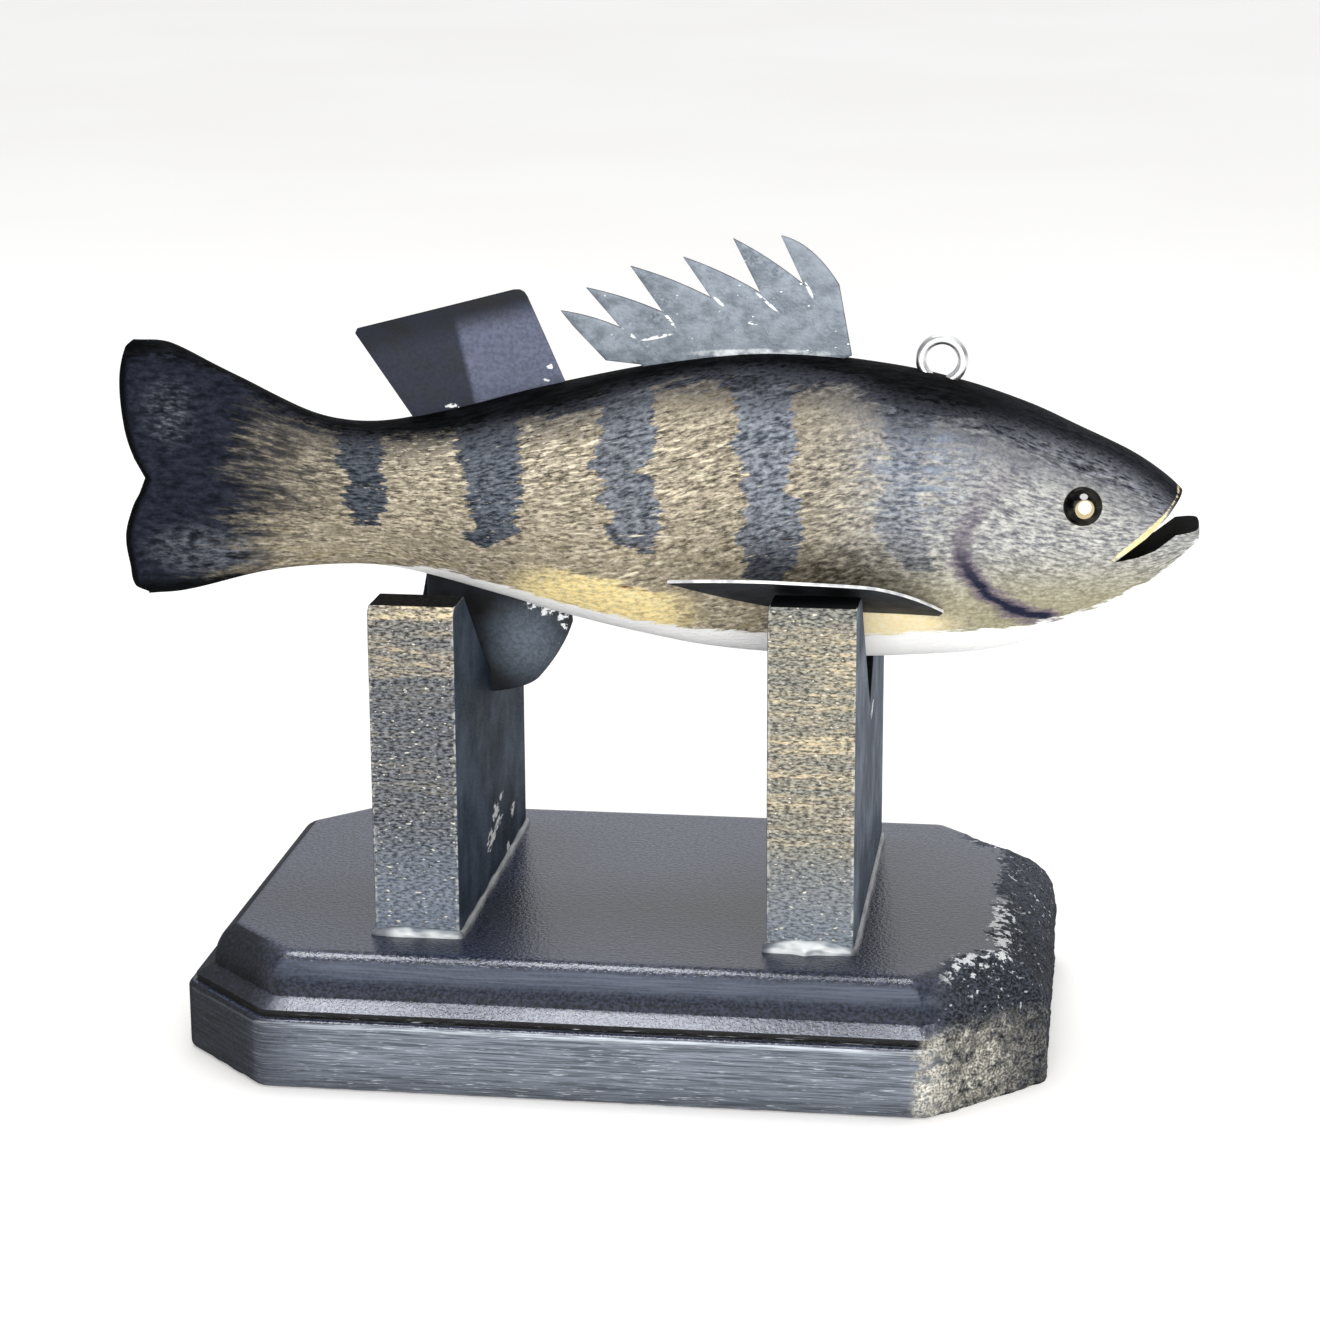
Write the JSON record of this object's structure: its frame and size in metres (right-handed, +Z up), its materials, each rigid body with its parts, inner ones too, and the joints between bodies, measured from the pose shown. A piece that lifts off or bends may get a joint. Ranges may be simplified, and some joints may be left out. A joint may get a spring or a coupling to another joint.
{
  "type": "fish decoy",
  "caption": "Carved and painted wooden perch decoy with sheet metal fins and a screw eye, resting in the notched uprights of its own black plaque stand.",
  "frame": {"origin": "centre of the plaque's underside, on the surface that the stand stands on", "axes": "+X towards the fish's nose, +Y towards the fish's left side, +Z up"},
  "size_m": [0.2408, 0.127, 0.1772],
  "materials": {
    "black_painted_wood": "black enamel brushed on wood, satin, rubbed through to bare wood at one corner",
    "worn_painted_wood": "black and grey-green paint over wood, streaked with gold and cream where it is worn",
    "fish_paint_on_wood": "brushed oil paint: slate back and bars, olive gold sides, silvery head, yellow and white belly, satin varnish",
    "bare_zinc_sheet": "zinc-grey sheet, mottled and scratched, dull",
    "black_painted_sheet": "black paint on thin sheet, satin, with white chips and bright cut edges",
    "black_glass": "glossy black glass dome",
    "plated_wire": "bright plated steel wire"
  },
  "bodies": {
    "root": {"base_plaque": "black_painted_wood", "rear_post": "worn_painted_wood", "front_post": "worn_painted_wood", "fish_body": "fish_paint_on_wood", "spiny_dorsal_fin": "bare_zinc_sheet", "soft_dorsal_fin": "black_painted_sheet", "anal_fin": "black_painted_sheet", "pectoral_fin_right": "black_painted_sheet", "pectoral_fin_left": "black_painted_sheet", "eye_right": "black_glass", "eye_left": "black_glass", "screw_eye": "plated_wire"}
  },
  "joints": []
}
